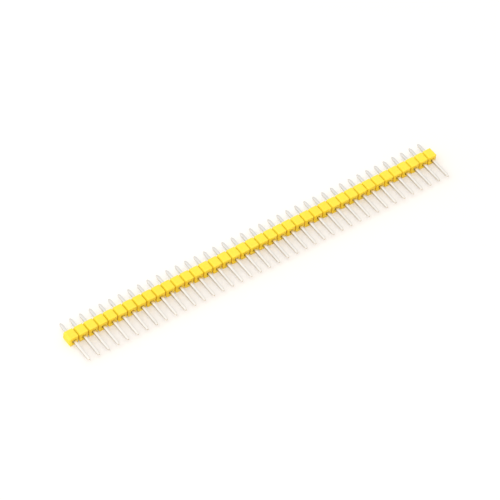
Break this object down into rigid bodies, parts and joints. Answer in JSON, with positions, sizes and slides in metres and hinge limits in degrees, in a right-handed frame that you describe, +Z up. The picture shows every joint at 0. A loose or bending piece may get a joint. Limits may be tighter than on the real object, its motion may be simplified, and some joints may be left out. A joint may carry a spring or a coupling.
{
  "type": "pin header strip",
  "caption": "Long row of square pins pressed through a narrow yellow insulator with V grooves between the pins, lying on its side.",
  "frame": {"origin": "on the surface that the strip lies on, under the middle of the row and halfway along the pins", "axes": "+X along the row, +Y along the pins towards the ends of the short tails, +Z up from the surface"},
  "size_m": [0.1014, 0.0114, 0.0025],
  "materials": {
    "insulator": "satin",
    "pin": "satin"
  },
  "bodies": {
    "root": {"housing": "insulator", "pin_01": "pin", "pin_02": "pin", "pin_03": "pin", "pin_04": "pin", "pin_05": "pin", "pin_06": "pin", "pin_07": "pin", "pin_08": "pin", "pin_09": "pin", "pin_10": "pin", "pin_11": "pin", "pin_12": "pin", "pin_13": "pin", "pin_14": "pin", "pin_15": "pin", "pin_16": "pin", "pin_17": "pin", "pin_18": "pin", "pin_19": "pin", "pin_20": "pin", "pin_21": "pin", "pin_22": "pin", "pin_23": "pin", "pin_24": "pin", "pin_25": "pin", "pin_26": "pin", "pin_27": "pin", "pin_28": "pin", "pin_29": "pin", "pin_30": "pin", "pin_31": "pin", "pin_32": "pin", "pin_33": "pin", "pin_34": "pin", "pin_35": "pin", "pin_36": "pin", "pin_37": "pin", "pin_38": "pin", "pin_39": "pin", "pin_40": "pin"}
  },
  "joints": []
}
